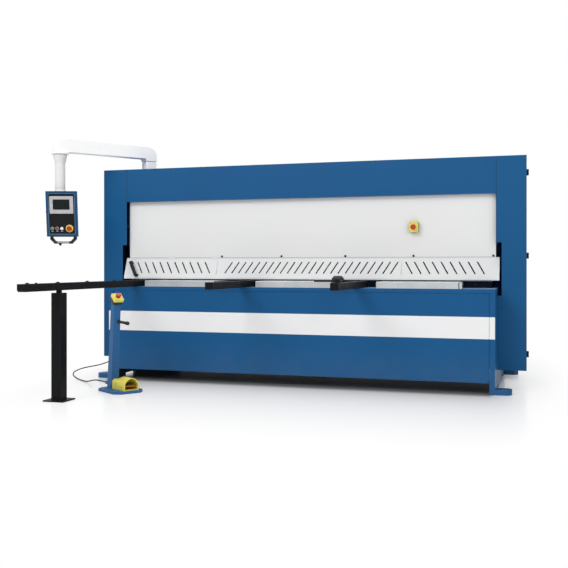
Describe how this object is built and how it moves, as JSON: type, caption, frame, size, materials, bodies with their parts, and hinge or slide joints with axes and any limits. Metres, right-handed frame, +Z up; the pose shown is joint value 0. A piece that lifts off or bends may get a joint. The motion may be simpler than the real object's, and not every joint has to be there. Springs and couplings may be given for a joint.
{
  "type": "guillotine shear",
  "caption": "Hydraulic guillotine shear with raked blade, slotted finger guard, sheet support arms, swinging control pendant and foot-switch pedestal.",
  "frame": {"origin": "on the floor, at the centre of the four anchor holes in the machine's feet", "axes": "+X to the operator's right along the blades, +Y to the rear of the machine, +Z up"},
  "size_m": [4.002, 2.998, 2.032],
  "materials": {
    "blue_paint": "satin",
    "white_paint": "satin",
    "black_paint": "satin",
    "ground_steel": "ground",
    "blade_steel": "ground",
    "yellow_plastic": "satin",
    "black_plastic": "matte",
    "red_plastic": "satin",
    "black_rubber": "matte"
  },
  "bodies": {
    "frame": {"side_frame_left": "blue_paint", "side_frame_right": "blue_paint", "frame_feet": "blue_paint", "table_top": "blue_paint", "table_apron": "blue_paint", "bed_beam": "blue_paint", "bed_ribs": "blue_paint", "blade_seat": "black_paint", "table_inserts": "ground_steel", "lower_blade": "blade_steel", "upper_blade": "blade_steel", "knife_beam": "blue_paint", "hold_down_beam": "blue_paint", "hold_down_cylinders": "ground_steel", "upper_beam": "blue_paint", "drive_cylinders": "ground_steel", "hydraulic_unit": "blue_paint", "back_gauge_slides": "ground_steel", "back_gauge_bar": "ground_steel", "rear_tie_beam": "blue_paint", "sheet_chute": "blue_paint", "electrical_cabinet": "white_paint", "top_cover": "blue_paint", "front_beam_cover": "blue_paint", "column_cover_left": "blue_paint", "column_cover_right": "blue_paint", "front_panel": "white_paint", "cover_brackets": "blue_paint", "side_back_panels": "blue_paint", "guard_centre": "white_paint", "guard_right": "white_paint", "squaring_arm": "black_paint", "support_arm_centre": "black_paint", "support_arm_right": "black_paint", "ball_transfers": "ground_steel", "support_post": "black_paint", "panel_stop_box": "yellow_plastic", "pendant_stub": "white_paint", "pedestal_stand": "blue_paint", "pedestal_stop_box": "yellow_plastic", "pedestal_lever": "black_plastic", "foot_switch_hood": "yellow_plastic", "pedestal_gland": "blue_paint", "cabinet_gland": "black_plastic", "control_cord": "black_rubber"},
    "door_left": {"side_door_left": "blue_paint"},
    "door_right": {"side_door_right": "blue_paint"},
    "guard_flap": {"guard_left": "white_paint", "guard_handle": "black_plastic"},
    "arm": {"pendant_arm": "white_paint"},
    "console": {"drop_tube": "white_paint", "console_housing": "blue_paint", "console_panel": "black_plastic", "console_handle": "black_plastic"},
    "console_stop": {"console_stop_button": "red_plastic"},
    "panel_stop": {"panel_stop_button": "red_plastic"},
    "pedestal_stop": {"pedestal_stop_button": "red_plastic"},
    "pedal": {"foot_pedal": "black_plastic"},
    "gauge": {"angle_gauge": "black_plastic"}
  },
  "joints": [
    {"name": "door_left_hinge", "type": "hinge", "parent": "frame", "child": "door_left", "pos_m": [-1.8262, 0.494, 0.97], "axis": [0, 0, -1], "range_deg": [0, 90]},
    {"name": "door_right_hinge", "type": "hinge", "parent": "frame", "child": "door_right", "pos_m": [1.8262, -0.366, 0.97], "axis": [0, 0, -1], "range_deg": [0, 90]},
    {"name": "guard_flap_hinge", "type": "hinge", "parent": "frame", "child": "guard_flap", "pos_m": [-1.178, -0.3323, 1.026], "axis": [-1, 0, 0], "range_deg": [0, 90]},
    {"name": "pendant_swivel", "type": "hinge", "parent": "frame", "child": "arm", "pos_m": [-1.505, -0.113, 1.905], "axis": [0, 0, 1], "range_deg": [-20, 90]},
    {"name": "console_swivel", "type": "hinge", "parent": "arm", "child": "console", "pos_m": [-1.99605, -0.8117, 1.905], "axis": [0, 0, 1], "range_deg": [-120, 120]},
    {"name": "console_stop_press", "type": "slide", "parent": "console", "child": "console_stop", "axis": [-0.2964, 0.9458, 0.1327], "range_m": [0, 0.006]},
    {"name": "panel_stop_press", "type": "slide", "parent": "frame", "child": "panel_stop", "axis": [0, 1, 0], "range_m": [0, 0.006]},
    {"name": "pedestal_stop_press", "type": "slide", "parent": "frame", "child": "pedestal_stop", "axis": [-0.5329, 0.3594, -0.766], "range_m": [0, 0.006]},
    {"name": "foot_pedal_hinge", "type": "hinge", "parent": "frame", "child": "pedal", "pos_m": [-1.12921, -1.32273, 0.048], "axis": [0.5592, 0.829, 0], "range_deg": [0, 7], "stiffness_Nm_per_rad": 8, "springref_deg": -6.88},
    {"name": "angle_gauge_swing", "type": "hinge", "parent": "frame", "child": "gauge", "pos_m": [0.556, -1.3, 0.85], "axis": [0, 0, 1], "range_deg": [-75, 75]}
  ]
}
